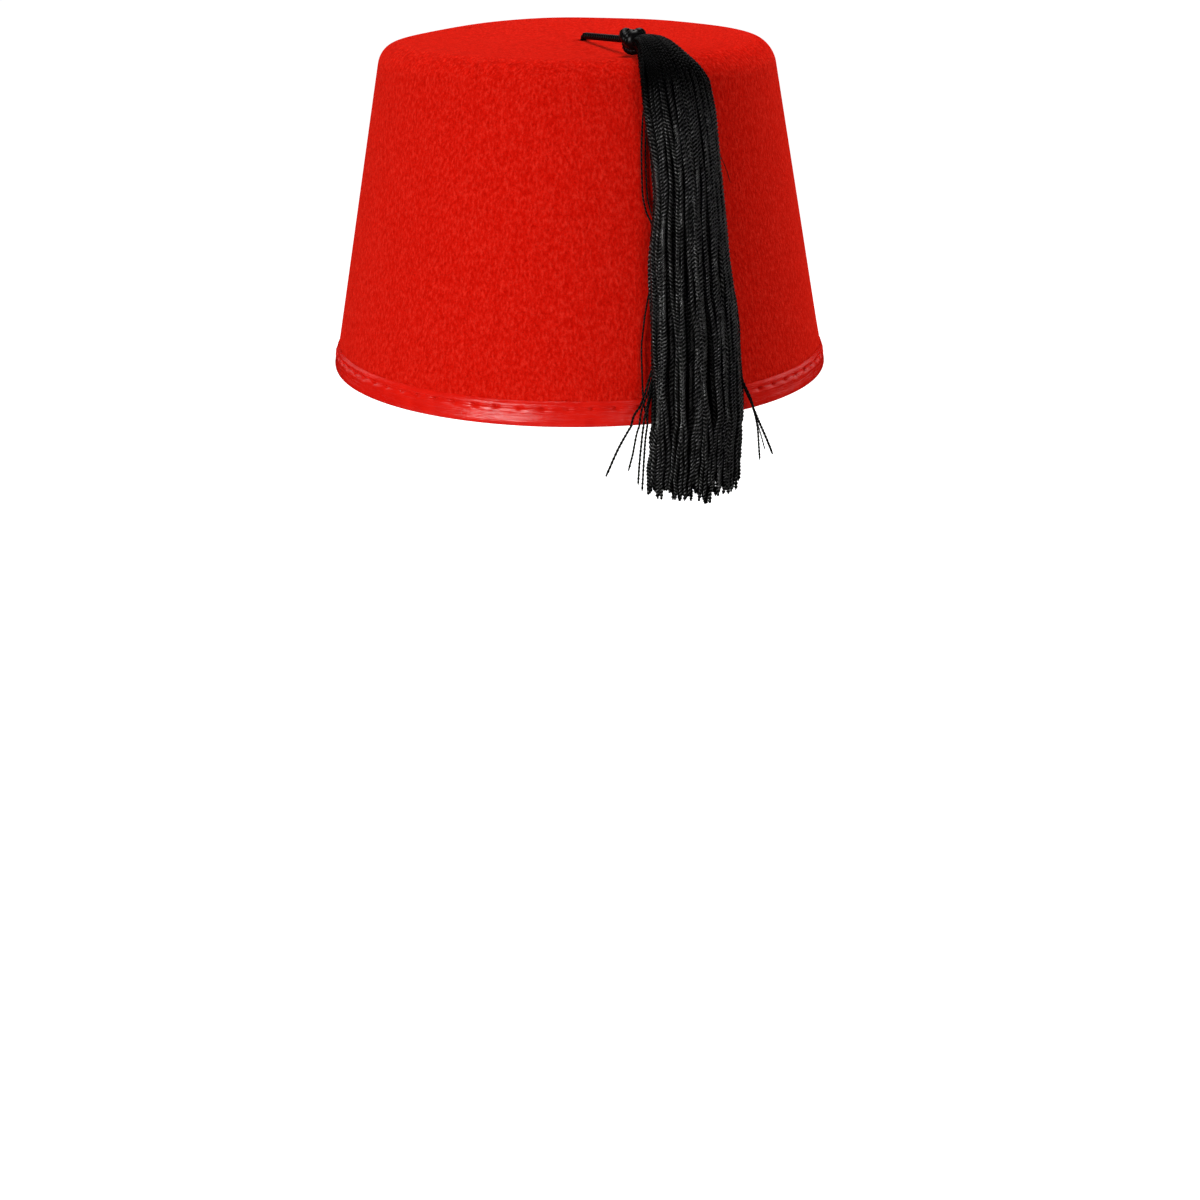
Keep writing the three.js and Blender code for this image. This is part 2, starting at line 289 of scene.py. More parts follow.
def tube_piece(name, rings, finish, run):
    """A piece of closed tubes from tubes x rings x sides points, with a UV map of the
    length along a tube in centimetres and the share of the way round."""
    tubes, count, sides, _ = rings.shape
    faces = [grid_faces(tubes, count, sides), cap_faces(tubes, count, sides)]
    uv = grid_uv(tubes, count, sides, run * 100, np.arange(sides + 1) / sides)
    uv = np.concatenate([uv, np.zeros((2 * tubes * sides, 2))])
    return make_piece(name, rings.reshape(-1, 3), faces, finish, uv=uv)


# %% [markdown]
# ## Helpers for materials
# Every finish is a Principled shader. Its fixed numbers are set on the shader itself, and
# only colour, gloss and bump come from nodes, so that they can vary over a piece.

# %% Material helpers
class Finish:
    """A new material with a Principled shader, and short ways to add nodes to it. Sockets
    are given by name, with _ for each blank in a name."""

    def __init__(self, name, color, roughness, **fixed):
        self.material = bpy.data.materials.new(name)
        self.material.use_nodes = True
        self.tree = self.material.node_tree
        self.set(Base_Color=(*color, 1), Roughness=roughness, **fixed)

    def feed(self, socket, value):
        """Gives a socket a fixed value, or links another node's output to it."""
        if isinstance(value, bpy.types.NodeSocket):
            self.tree.links.new(value, socket)
        else:
            socket.default_value = value

    def set(self, node=None, **values):
        """Feeds the sockets of a node, or else of the shader."""
        node = node or self.tree.nodes["Principled BSDF"]
        for name, value in values.items():
            self.feed(node.inputs[name.replace("_", " ")], value)

    def node(self, kind, choices=(), **values):
        """A node of a kind: its own choices are made first, then its sockets fed."""
        node = self.tree.nodes.new("ShaderNode" + kind)
        for name, choice in choices:
            setattr(node, name, choice)
        self.set(node, **values)
        return node

    def place(self, stretch=(1, 1, 1), uv=False):
        """The place on the piece, from Object coordinates or the UV map, stretched."""
        source = self.node("TexCoord").outputs["UV" if uv else "Object"]
        return self.node("Mapping", Vector=source, Scale=stretch).outputs["Vector"]

    def noise(self, scale, detail, roughness=0.5, distortion=0.0, stretch=(1, 1, 1), uv=False):
        """Cloudy noise at the place; a scale of 500 has features of about 2 mm."""
        return self.node("TexNoise", Vector=self.place(stretch, uv), Scale=scale, Detail=detail,
                         Roughness=roughness, Distortion=distortion).outputs["Fac"]

    def step(self, value, low, high):
        """0 up to low, 1 from high on, and a smooth rise between them."""
        return self.node("MapRange", [("interpolation_type", "SMOOTHSTEP")], Value=value,
                         From_Min=low, From_Max=high).outputs["Result"]

    def ramp(self, value, stops):
        """A colour for each value, with straight steps between the stops (place, colour)."""
        node = self.node("ValToRGB", Fac=value)
        elements = node.color_ramp.elements
        while len(elements) < len(stops):
            elements.new(0.5)
        for element, (where, color) in zip(elements, stops):
            element.position = where
            element.color = (*color, 1)
        return node.outputs["Color"]

    def multiplied(self, amount, first, second):
        """The first colour times the second, by an amount that is a number or an output."""
        return self.node("Mix", [("data_type", "RGBA"), ("blend_type", "MULTIPLY")],
                         Factor=amount, A=first, B=second).outputs["Result"]

    def math(self, operation, *values):
        """A sum on one or two values, each a number or an output."""
        node = self.node("Math", [("operation", operation)])
        for socket, value in zip(node.inputs, values):
            self.feed(socket, value)
        return node.outputs[0]

    def bump(self, height, distance, strength, **base):
        """Small relief from a height. Normal, if given, is the coarser relief under it."""
        return self.node("Bump", Height=height, Distance=distance, Strength=strength,
                         **base).outputs["Normal"]


# %% [markdown]
# ## Black finishes
# The cord and the knots are black and nearly matt. The tassel's threads are rayon: the
# ridge of each ply catches the light as a small bright stroke, and the grooves stay dark.
# So the colour holds a painted highlight on the ridges and painted shade in the grooves,
# and the gloss follows the ridges, by the share of the way round from the UV map. Near the
# knot the threads lie tight and in shade, so colour and gloss are darkened there as painted
# shade, and come up further down.

# %% Black cord and black thread
LEAST_GLOSS = 0.02
UNEVENNESS = [(0.35, (0.45,) * 3), (0.65, (1.0,) * 3)]


def black_finish(name, groove, ridge, roughness, level, plies, knot_shade_span, **fixed):
    """Black fibre with painted light. Its share of painted light = |cos(pi plies v)|^4, with v
    the share of the way round, times a rise from 0 to 1 along the thread, from
    knot_shade_span[0] to knot_shade_span[1] centimetres, which is painted shade near the
    knot, times cloudy noise. It mixes the colour from groove to ridge, so the groove colour
    is painted shade and the ridge colour a painted highlight, and the gloss from nearly none
    to the level. Fine filaments run along in the bump."""
    black = Finish(name, groove, roughness, Specular_IOR_Level=level, **fixed)
    split = black.node("SeparateXYZ", Vector=black.place(uv=True)).outputs
    lobe = black.math("ABSOLUTE", black.math("COSINE", black.math("MULTIPLY", split["Y"], math.pi * plies)))
    # lobe^4 is the painted highlight on the ridges; the step along the thread is painted shade near the
    # knot
    ridge_light_and_knot_shade = black.math("MULTIPLY", black.math("POWER", lobe, 4.0), black.step(split["X"], *knot_shade_span))
    uneven = black.ramp(black.noise(350, 3), UNEVENNESS)
    painted_ridge_light = black.math("MULTIPLY", ridge_light_and_knot_shade, uneven)
    gloss = black.math("ADD", black.math("MULTIPLY", painted_ridge_light, 1 - LEAST_GLOSS), LEAST_GLOSS)
    filaments = black.noise(3, 2, stretch=(6, 14, 1), uv=True)
    # Base colour: painted highlight on the ridges, painted shade in the grooves and near the knot
    black.set(Base_Color=black.ramp(painted_ridge_light, [(0.0, groove), (1.0, ridge)]),
              Specular_IOR_Level=black.math("MULTIPLY", gloss, level),
              Normal=black.bump(filaments, 0.00012, 0.6))
    return black


# Each groove colour is painted shade and each ridge colour a painted highlight; the tassel threads' span
# darkens them near the knot as painted shade
cord_black = black_finish("cord_black", (0.0008, 0.0006, 0.0007), (0.002, 0.0017, 0.0018),
                          roughness=0.32, level=0.12, plies=3, knot_shade_span=(-1.0, 0.0))
thread_black = black_finish("thread_black", (0.0004,) * 3, (0.018, 0.018, 0.0165),
                            roughness=0.3, level=1.0, plies=2, knot_shade_span=(2.0, 4.2), IOR=1.75)
# A darker copy of thread_black: painted shade for the threads deep in the skein
inner_black_painted_shade = black_finish("inner_black_painted_shade", (0.0004,) * 3, (0.008, 0.008, 0.0076),
                           roughness=0.34, level=0.5, plies=2, knot_shade_span=(2.0, 4.4))
loose_black = black_finish("loose_black", (0.001,) * 3, (0.02, 0.02, 0.019),
                           roughness=0.4, level=0.3, plies=2, knot_shade_span=(-1.0, 0.0))
print("finishes:", [black.material.name for black in (cord_black, thread_black, inner_black_painted_shade, loose_black)])

# %% [markdown]
# ## The cord
# The cord comes first, because it is the one piece that could wander. It follows the same
# points as the CAD source: round a bend up out of the hole, then straight to the knot,
# because the skein's weight over the edge holds it taut. The CAD's curve through the
# points is a centripetal Catmull-Rom curve, and the same formula is used here.

# %% The cord's route
CORD = 2.4 * MM
CORD_R = CORD / 2
KNOT_R = 4.8 * MM
KNOT_LENGTH = 9 * MM
KNOT_PLACE = 0.925
KNOT_TURN = math.radians(19)
HOLE_SHIFT = 2 * MM
TOP_MIDDLE_Z = HAT_HEIGHT - TOP_SAG
BEND = 2 * CORD
BEND_Z = TOP_MIDDLE_Z + 2 * CLEARANCE + CORD_R - BEND
INNER_RISE = TOP_MIDDLE_Z - FELT - BEND_Z
front_reach = math.sqrt((BEND - CORD_R - CLEARANCE) ** 2 - (TOP_MIDDLE_Z - BEND_Z) ** 2)
back_reach = math.sqrt((BEND + CORD_R + CLEARANCE) ** 2 - INNER_RISE ** 2)
HOLE_R = (back_reach - front_reach) / 2
bend_middle = (back_reach + front_reach) / 2

knot_middle = felt_point(KNOT_PLACE, KNOT_TURN, KNOT_R + CLEARANCE)
hole_middle = np.array([HOLE_SHIFT, 0, 0])
cord_way = unit((knot_middle - hole_middle) * [1, 1, 0])
knot_away = np.array([(knot_middle - hole_middle) @ cord_way - bend_middle, knot_middle[2] - BEND_Z])
first_turn = math.asin((INNER_RISE + 2 * CLEARANCE) / BEND)
last_turn = math.pi - math.atan2(knot_away[1], knot_away[0]) - math.acos(BEND / np.hypot(*knot_away))
turns = np.linspace(first_turn, last_turn, 9)
bend_points = hole_middle + (bend_middle - BEND * np.cos(turns))[:, None] * cord_way
bend_points[:, 2] = BEND_Z + BEND * np.sin(turns)
knot_axis = unit(knot_middle - bend_points[-1])
cord_end = knot_middle - knot_axis * (KNOT_LENGTH / 2 + CLEARANCE)
taut_shares = np.array([0.08, 0.2, 0.35, 0.5, 0.65, 0.82])[:, None]
taut_points = bend_points[-1] + (cord_end - bend_points[-1]) * taut_shares
route = np.concatenate([bend_points, taut_points, [cord_end]])


def blend(first, last, t, start, stop):
    """The straight line that is at first when t is start, and at last when t is stop."""
    return (stop - t) / (stop - start) * first + (t - start) / (stop - start) * last


def catmull_rom(points, per_span):
    """A smooth curve through the points. Between two of them it is blended from straight
    lines, timed by the square root of the distances, with the ends carried on."""
    points = np.concatenate([[2 * points[0] - points[1]], points, [2 * points[-1] - points[-2]]])
    gaps = np.maximum(np.sqrt(np.linalg.norm(np.diff(points, axis=0), axis=1)), 1e-9)
    spans = []
    for k in range(len(points) - 3):
        when = np.concatenate([[0], np.cumsum(gaps[k:k + 3])])
        t = np.linspace(when[1], when[2], per_span, endpoint=False)[:, None]
        a = [blend(points[k + i], points[k + i + 1], t, when[i], when[i + 1]) for i in range(3)]
        b = [blend(a[i], a[i + 1], t, when[i], when[i + 2]) for i in range(2)]
        spans.append(blend(b[0], b[1], t, when[1], when[2]))
    return np.concatenate(spans + [points[-2:-1]])


cord_line = catmull_rom(route, per_span=24)

# %% [markdown]
# The cord itself is three plies twisted round each other, one turn every 7 mm, which is
# how such a tassel cord is laid.

# %% The cord
CORD_RINGS, CORD_SIDES, CORD_PLIES = 260, 18, 3
CORD_PITCH = 7 * MM
lines, cord_run, _ = resample(cord_line[None], CORD_RINGS)
cord_side = np.cross(cord_way, [0, 0, 1.0])
cord_out = np.cross(cord_side, unit(np.gradient(lines, axis=1)))
cord_rings = twisted_rings(lines, cord_run, np.full(lines.shape[:2], CORD_R), cord_out, CORD_SIDES,
                           CORD_PLIES, pitch=np.array([CORD_PITCH]), phase=np.array([0.4]), depth=0.22)
cord_piece = tube_piece("tassel_cord_twisted", cord_rings, cord_black, cord_run)
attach(cord_piece, "root")
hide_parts("tassel_cord")

# %% [markdown]
# ## The knots
# The tassel's knot is cord wound tight round the skein's head: a barrel, narrow where the
# cord goes in, with a wave in its radius that climbs one turn for each time round. A loop
# of cord tied in a trefoil over it gives the knot its humps and hollows. The knot inside
# the hat, which stops the cord from pulling out, is shorter.

# %% Knots of wound cord
TABLE_STEPS = 600


def smooth_table(places, values, grid, width):
    """Values at the grid's places: straight lines between the table's rows, then rounded
    off with a bell of the given width."""
    fine = np.linspace(places[0], places[-1], TABLE_STEPS)
    line = np.interp(fine, places, values)
    step = fine[1] - fine[0]
    reach = int(3 * width / step) + 1
    bell = np.exp(-0.5 * (np.arange(-reach, reach + 1) * step / width) ** 2)
    padded = np.concatenate([2 * line[0] - line[reach:0:-1], line, 2 * line[-1] - line[-2:-reach - 2:-1]])
    return np.interp(grid, fine, np.convolve(padded, bell / bell.sum(), "valid"))


def wound_body(places, radii, length, turns_count, ridge, rings, sides):
    """Points of a barrel along +Z with a middle at 0. Radius: the table's, less a ridge
    depth times (1 - |sin|^0.7) of the winding's angle, turns x 2 pi x share + angle."""
    share = np.linspace(0, 1, rings)[:, None]
    angle = 2 * np.pi * np.arange(sides)[None] / sides
    wave = np.abs(np.sin((2 * np.pi * turns_count * share + angle) / 2)) ** 0.7
    radius = smooth_table(places, radii, share, 0.035) - ridge * (1 - wave)
    radius = np.maximum(radius, 0.05 * MM)
    return oval_points(radius, radius, angle, (share - 0.5) * length + 0 * angle)


def turned(points, axis):
    """Points turned so that +Z goes to the axis, with their X side kept level."""
    side = unit(np.cross([0, 0, 1.0], axis))
    return points @ np.stack([side, np.cross(axis, side), axis])


def trefoil(size, rise, thick, turns_count, sides=12, count=180):
    """Cord tied in a closed trefoil round +Z. Its line is size (sin t + 2 sin 2t) / 3,
    size (cos t - 2 cos 2t) / 3, -rise sin 3t. Its section has three lobes, and turns a
    whole number of times on the way round, so that it closes."""
    t = 2 * np.pi * np.arange(count) / count
    line = np.stack([size * (np.sin(t) + 2 * np.sin(2 * t)) / 3,
                     size * (np.cos(t) - 2 * np.cos(2 * t)) / 3, -rise * np.sin(3 * t)], axis=-1)
    along = unit(np.roll(line, -1, 0) - np.roll(line, 1, 0))
    out = square_to(unit(line * [1, 1, 0]), along)
    side = 2 * np.pi * np.arange(sides) / sides
    lobe = thick * (0.82 + 0.18 * np.abs(np.cos(1.5 * side)) ** 1.5)
    return rings_round(line, out, np.cross(along, out), lobe, side[None] + turns_count * t[:, None])


def knot_piece(name, body, wrap, axis, middle):
    """One piece of a barrel, closed by a face at each end, and a closed ring of cord."""
    rings, sides, _ = body.shape
    points = np.concatenate([body.reshape(-1, 3), wrap.reshape(-1, 3)])
    faces = [grid_faces(1, rings, sides), cap_faces(1, rings, sides),
             grid_faces(1, *wrap.shape[:2], loop_rings=True) + rings * sides]
    corners = sum(f.size for f in faces)
    return make_piece(name, turned(points, axis) + middle, faces, cord_black, uv=np.zeros((corners, 2)))


knot_body = wound_body([0, 0.03, 0.1, 0.22, 0.42, 0.62, 0.8, 0.93, 1],
                       np.array([0.9, 1.5, 2.2, 3.0, 3.4, 3.5, 3.3, 2.9, 2.2]) * MM,
                       KNOT_LENGTH, turns_count=3.5, ridge=0.5 * MM, rings=72, sides=60)
knot_wrap = trefoil(size=3.15 * MM, rise=2.45 * MM, thick=1.8 * MM, turns_count=12)
tassel_knot = knot_piece("tassel_knot_wound", knot_body, knot_wrap, knot_axis, knot_middle)
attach(tassel_knot, "root")
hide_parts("tassel_knot")

stop_low, stop_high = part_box("stop_knot")
stop_body = wound_body([0, 0.08, 0.3, 0.6, 0.9, 1], np.array([0.9, 2.0, 2.8, 3.0, 2.5, 1.3]) * MM,
                       stop_high.z - stop_low.z, turns_count=2.5, ridge=0.45 * MM, rings=48, sides=48)
stop_wrap = trefoil(size=2.6 * MM, rise=1.1 * MM, thick=1.15 * MM, turns_count=12)
NEARLY_UP = np.array([0.0, 1e-6, 1.0])
stop_middle = np.array([HOLE_SHIFT, 0, (stop_low.z + stop_high.z) / 2])
stop_knot = knot_piece("stop_knot_wound", stop_body, stop_wrap, NEARLY_UP, stop_middle)
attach(stop_knot, "root")
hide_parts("stop_knot")

# %% [markdown]
# ## The felt crown
# Blocked felt could be a spun profile with a Solidify modifier, but the hat is an oval
# that changes with height, so the whole wall is one closed grid: rows go from the hole in
# the top over the shoulder and down the outside, round the lower edge, and back up inside.
# Hand blocking leaves soft unevenness, which is added as slow waves of a third of a
# millimetre, the same on both sides so that the felt keeps its thickness.

# %% Felt crown
ANGLES = 360
EDGE_R = (FELT + 2 * PROUD) / 2
PRESSED = 0.14 * MM
PRESSED_TOP = 7.9 * MM


def slow_waves(path, angle):
    """A sum of five waves over path and angle, each with its own count and phase, less a
    low dent in the shoulder at the left of the back."""
    total = 0
    for count, rate, phase, height in [(2, 1.1, 0.4, 0.22), (3, 2.3, 2.1, 0.14), (5, 1.7, 4.4, 0.1),
                                       (7, 3.9, 1.3, 0.06), (11, 5.1, 5.2, 0.04)]:
        total = total + height * MM * np.sin(count * angle + phase) * np.cos(rate * path + 2 * phase)
    around = np.exp(-((np.degrees(angle) - 152) / 30) ** 2)
    return total - 1.7 * MM * around * np.exp(-((path - 0.95) / 0.6) ** 2)


def felt_rows(inset, top_count, shoulder_count, wall_count):
    """Rows of one face of the felt, from the hole's edge down to the lower edge: path,
    half width, half depth, height and rise."""
    hole = HOLE_R / LEVEL_HALF
    path = np.concatenate([np.linspace(hole, 1, top_count, endpoint=False),
                           np.linspace(1, 2, shoulder_count, endpoint=False),
                           np.linspace(2, 3 - (PRESSED_TOP + PRESSED) / WALL_TOP_Z, wall_count)])
    half, deep, z, rise = felt_row(path, inset)
    deep[0] = half[0]
    sign = 1 if inset == 0 else -1
    foot_z = np.array([PRESSED_TOP, 5 * MM, EDGE_R])
    foot_half, foot_deep = wall_row(foot_z, inset + sign * PRESSED)
    return [np.concatenate(pair) for pair in [(path, 3 - foot_z / WALL_TOP_Z), (half, foot_half),
                                              (deep, foot_deep), (z, foot_z), (rise, np.full(3, LEAN))]]


outside = felt_rows(0.0, top_count=44, shoulder_count=22, wall_count=96)
inside = felt_rows(FELT, top_count=22, shoulder_count=12, wall_count=30)
path, half, deep, z, rise = [np.concatenate([o, i[::-1]]) for o, i in zip(outside, inside)]
angle = 2 * np.pi * np.arange(ANGLES) / ANGLES
shift = HOLE_SHIFT * (1 - smooth_step(path, path.min(), 0.3))
wavy = smooth_step(path, 0.15, 0.6) * (1 - smooth_step(path, 2.85, 2.93))
wave = slow_waves(path[:, None], angle[None]) * wavy[:, None]
out_x, out_y = deep[:, None] * np.cos(angle), half[:, None] * np.sin(angle)
size = np.hypot(out_x, out_y)
level = wave * np.cos(rise)[:, None]
crown_points = np.stack([shift[:, None] + half[:, None] * np.cos(angle) + level * out_x / size,
                         deep[:, None] * np.sin(angle) + level * out_y / size,
                         z[:, None] + wave * np.sin(rise)[:, None]], axis=-1)[::-1]

# %% [markdown]
# Felt is matted wool. Close to, it is a grain of short curled fibres, with blots a
# millimetre or two wide where the dye took more or less, and it is soft at grazing light
# because fibres stand off it. So the colour goes through three reds by blots, darkened by
# the grain, the bump has the same two sizes, and a low sheen stands for the loose fibres.
# The level top was rubbed more on the block, so wider blots come in there by the height.

# %% Felt material
felt_red = Finish("felt_red", (0.62, 0.008, 0.003), 0.95, Specular_IOR_Level=0.0, Sheen_Weight=0.14,
                  Sheen_Roughness=0.4, Sheen_Tint=(1.0, 0.1, 0.06, 1.0))
blots = felt_red.noise(1150, 3, 0.6, stretch=(1, 1, 0.5))
grain = felt_red.noise(1900, 3, 0.65, 0.6)
blot_color = felt_red.ramp(blots, [(0.33, (0.56, 0.004, 0.001)), (0.5, (0.67, 0.0085, 0.0035)),
                                   (0.68, (0.78, 0.022, 0.012))])
grain_color = felt_red.ramp(grain, [(0.32, (0.7, 0.66, 0.66)), (0.55, (1, 1, 1))])
wall_color = felt_red.multiplied(0.8, blot_color, grain_color)
height = felt_red.node("SeparateXYZ", Vector=felt_red.place()).outputs["Z"]
on_top = felt_red.step(height, 0.108, 0.1135)
top_tone = felt_red.ramp(felt_red.noise(480, 3, 0.65), [(0.38, (0.8, 0.72, 0.72)), (0.6, (1, 1, 1))])
coarse = felt_red.bump(blots, 0.0006, 0.5)
felt_red.set(Base_Color=felt_red.multiplied(on_top, wall_color, top_tone),
             Normal=felt_red.bump(grain, 0.0005, 0.55, Normal=coarse))

crown = make_piece("crown_felt", crown_points.reshape(-1, 3),
                   [grid_faces(1, len(crown_points), ANGLES, loop_rings=True)], felt_red)
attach(crown, "root")
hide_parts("crown")

# %% [markdown]
# ## The binding
# A satin tape is folded round the felt's lower edge and sewn through, with a stitch every
# 8 mm. So the tape is a profile carried round the oval, and its outer face gets a groove
# that follows the seam: deep at the needle holes, shallow and arched between them.

# %% Binding
TAPE = 0.6 * MM
BINDING_TOP = 8 * MM
SEAM_BELOW_TOP = 2.4 * MM
SEAM_ARCH = 0.55 * MM
STITCHES = 74
STEPS_PER_STITCH = 12
AROUND = STITCHES * STEPS_PER_STITCH
FOLD_DROOP = 0.45 * MM


def binding_profile():
    """The tape's section as inset and height, with its inset counted from the outer face:
    up the outer face, over a rolled edge, down inside it, round the fold, and the same on
    the inner side of the hat. It closes on itself. Gives too how many of its points are
    on the outer face."""
    wall = np.linspace(EDGE_R, BINDING_TOP - TAPE / 2, 26)
    edge = np.pi * np.arange(1, 6) / 6
    fold = np.pi * np.arange(1, 12) / 12
    width = 2 * EDGE_R
    roll = TAPE / 2
    parts = [
        (0 * wall, wall),
        (roll - roll * np.cos(edge), wall[-1] + roll * np.sin(edge)),
        (np.array([TAPE, TAPE]), np.array([wall[-1], EDGE_R])),
        (EDGE_R - (EDGE_R - TAPE) * np.cos(fold[1::2]), EDGE_R - (EDGE_R - TAPE) * np.sin(fold[1::2])),
        (np.array([width - TAPE] * 2), np.array([EDGE_R, wall[-1]])),
        (width - roll - roll * np.cos(edge), wall[-1] + roll * np.sin(edge)),
        (width + 0 * wall[::3], wall[::-3]),
        (EDGE_R + EDGE_R * np.cos(fold), EDGE_R - (EDGE_R + FOLD_DROOP) * np.sin(fold)),
    ]
    insets, heights = [np.concatenate([part[k] for part in parts]) for k in range(2)]
    return insets, heights, len(wall) + 2


def oval_angles(count, half, deep):
    """Angles that share the oval's length evenly, found from its running length, and
    that length."""
    fine = np.linspace(0, 2 * np.pi, 20 * 360 + 1)
    steps = np.hypot(np.diff(half * np.cos(fine)), np.diff(deep * np.sin(fine)))
    run = np.concatenate([[0], np.cumsum(steps)])
    return np.interp(run[-1] * np.arange(count) / count, run, fine), run[-1]


def seam_height(share):
    """The seam's height at a share of one stitch: an arch, lowest at the holes."""
    return BINDING_TOP - SEAM_BELOW_TOP + SEAM_ARCH * (1 - (2 * share - 1) ** 2)


rim_half, rim_deep = wall_row(4 * MM, -PROUD)
tape_angle, tape_length = oval_angles(AROUND, rim_half, rim_deep)
inset, height, face_points = binding_profile()
share = (np.arange(AROUND) % STEPS_PER_STITCH) / STEPS_PER_STITCH
to_hole = np.minimum(share, 1 - share)[:, None]
from_seam = height[None] - seam_height(share)[:, None]
pull = 0.18 + 0.62 * np.exp(-(to_hole / 0.13) ** 2)
groove = pull * np.exp(-(from_seam / (0.55 * MM)) ** 2)
arch = 0.6 + 0.8 * np.sin(np.pi * share[:, None]) ** 2
puff = 0.2 * np.exp(-((from_seam + 1.4 * MM) / (0.8 * MM)) ** 2) * arch
uneven = 1 + 0.35 * np.repeat(rng.uniform(-1, 1, STITCHES), STEPS_PER_STITCH)[:, None]
on_face = np.arange(len(inset)) < face_points
up_the_tape = np.clip(height / BINDING_TOP, 0, 1)
slow = 0.08 * MM * np.sin(9 * tape_angle[:, None] + 1.0) * np.sin(up_the_tape * 3)
press = on_face * (groove * uneven - puff) * MM + on_face * slow
sunk = 0.42 * MM * smooth_step(height, BINDING_TOP - 1.5 * MM, BINDING_TOP) * (inset <= TAPE + 1e-9)
tape_z = height[None] + 0 * press
tape_half, tape_deep = wall_row(tape_z, (inset + sunk)[None] - PROUD + press)
tape_points = oval_points(tape_half, tape_deep, tape_angle[:, None], tape_z)
print("stitch length:", round(tape_length / STITCHES * 1000, 2), "mm")

# %% [markdown]
# Satin is finely ribbed across, and gets small lengthwise creases when it is folded. The
# UV map runs along the tape and across it, so ribs and creases follow it round the oval.

# %% Binding material and piece
tape_red = Finish("tape_red", (0.68, 0.008, 0.003), 0.25, Specular_IOR_Level=0.36)
tone = tape_red.noise(160, 3)
worn = tape_red.noise(1.2, 2, stretch=(0.6, 6, 1), uv=True)
creases = tape_red.noise(1.6, 3, stretch=(0.45, 9, 1), uv=True)
ribs = tape_red.noise(1, 1, stretch=(60, 3, 1), uv=True)
creased = tape_red.bump(creases, 0.0006, 0.5)
tape_red.set(Base_Color=tape_red.ramp(tone, [(0.3, (0.64, 0.006, 0.0025)), (0.7, (0.75, 0.011, 0.005))]),
             Roughness=tape_red.ramp(worn, [(0.3, (0.18,) * 3), (0.7, (0.3,) * 3)]),
             Normal=tape_red.bump(ribs, 0.00006, 0.5, Normal=creased))

profile_run = np.concatenate([[0], np.cumsum(np.hypot(np.diff(inset), np.diff(height)))])
profile_run = np.append(profile_run, profile_run[-1] + 0.2 * MM) * 100
around_run = np.arange(AROUND + 1) * tape_length / AROUND * 100
binding = make_piece("rim_binding_tape", tape_points.reshape(-1, 3),
                     [grid_faces(1, AROUND, len(inset), loop_rings=True)], tape_red,
                     uv=grid_uv(1, AROUND, len(inset), around_run, profile_run, loop_rings=True))
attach(binding, "root")
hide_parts("rim_binding")

# %% [markdown]
# The stitches are separate pieces of red thread. Each is a short tube that dives into the
# tape at its two holes and lies in the groove between them.

# %% Stitches
thread_red = Finish("thread_red", (0.6, 0.01, 0.005), 0.6, Specular_IOR_Level=0.05)
tone = thread_red.ramp(thread_red.noise(900, 2), [(0.3, (0.6, 0.006, 0.0025)), (0.7, (0.78, 0.012, 0.006))])
thread_red.set(Base_Color=tone)
STITCH_RINGS = 13
STITCH_R = 0.19 * MM
share = np.linspace(0.0, 1.0, STITCH_RINGS)
stitch_run = (np.arange(STITCHES)[:, None] + share) / STITCHES * AROUND
stitch_angle = np.interp(stitch_run, np.arange(AROUND + 1), np.append(tape_angle, 2 * np.pi))
stitch_z = seam_height(share)[None] + 0 * stitch_angle
sink = 0.16 + 0.75 * np.exp(-(np.minimum(share, 1 - share) / 0.07) ** 2)
stitch_half, stitch_deep = wall_row(stitch_z, -PROUD + (sink[None] + 0 * stitch_angle) * MM)
stitch_lines = oval_points(stitch_half, stitch_deep, stitch_angle, stitch_z)
stitch_out = unit(oval_points(stitch_deep, stitch_half, stitch_angle, 0 * stitch_z))
stitch_rings = twisted_rings(stitch_lines, stitch_run * 0, np.full(stitch_z.shape, STITCH_R), stitch_out,
                             sides=6, plies=2, pitch=np.ones(STITCHES), phase=np.zeros(STITCHES), depth=0.0)
stitches = tube_piece("binding_stitches", stitch_rings, thread_red, stitch_run)
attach(stitches, "root")

# %% [markdown]
# ## The tassel
# A tassel is about a hundred threads that leave the knot as a tight bundle and spread as
# they hang. Hair curves could make it, but each thread shows its twist, so each is a
# tube. A table gives the skein's edges and thickness row by row down the hat. A thread has
# a place across it, from -1 to 1, and a layer, and wanders a little on its way down.

# %% The skein's form
SKEIN_REST = PROUD + CLEARANCE
SKEIN_START = KNOT_PLACE + (KNOT_LENGTH / 2 + 0.2 * MM) / (LEVEL_HALF + LEVEL_STRETCH)
# columns: path, left edge and right edge in degrees from the front, thickness in mm,
# share of it where the section is widest, lift in mm
SKEIN = np.array([
    (SKEIN_START, 17.2, 25.0, 6.2, 0.55, 0.2),
    (1.15, 17.0, 27.2, 7.0, 0.55, 0.1),
    (1.30, 16.6, 28.6, 7.4, 0.48, 0.0),
    (1.55, 15.8, 30.5, 7.7, 0.40, 0.0),
    (1.80, 15.2, 33.6, 8.0, 0.35, 0.0),
    (2.02, 15.0, 35.6, 8.0, 0.30, 0.0),
    (2.08, 15.4, 36.6, 8.0, 0.30, 0.0),
    (2.20, 16.6, 36.5, 8.0, 0.30, 0.0),
    (2.33, 17.0, 36.4, 8.0, 0.30, 0.0),
    (2.42, 16.0, 36.4, 8.0, 0.30, 0.0),
    (2.50, 15.2, 36.4, 8.0, 0.30, 0.0),
    (2.63, 14.8, 36.8, 8.0, 0.30, 0.0),
    (2.78, 14.4, 36.9, 8.0, 0.30, 0.0),
    (2.92, 13.9, 36.2, 8.0, 0.30, 0.0),
    (3.10, 13.5, 35.7, 8.0, 0.32, 0.0),
    (3.50, 12.9, 35.2, 8.0, 0.38, 0.1),
    (3.95, 12.7, 35.0, 7.6, 0.42, 0.3),
])
ROUNDING = 0.03


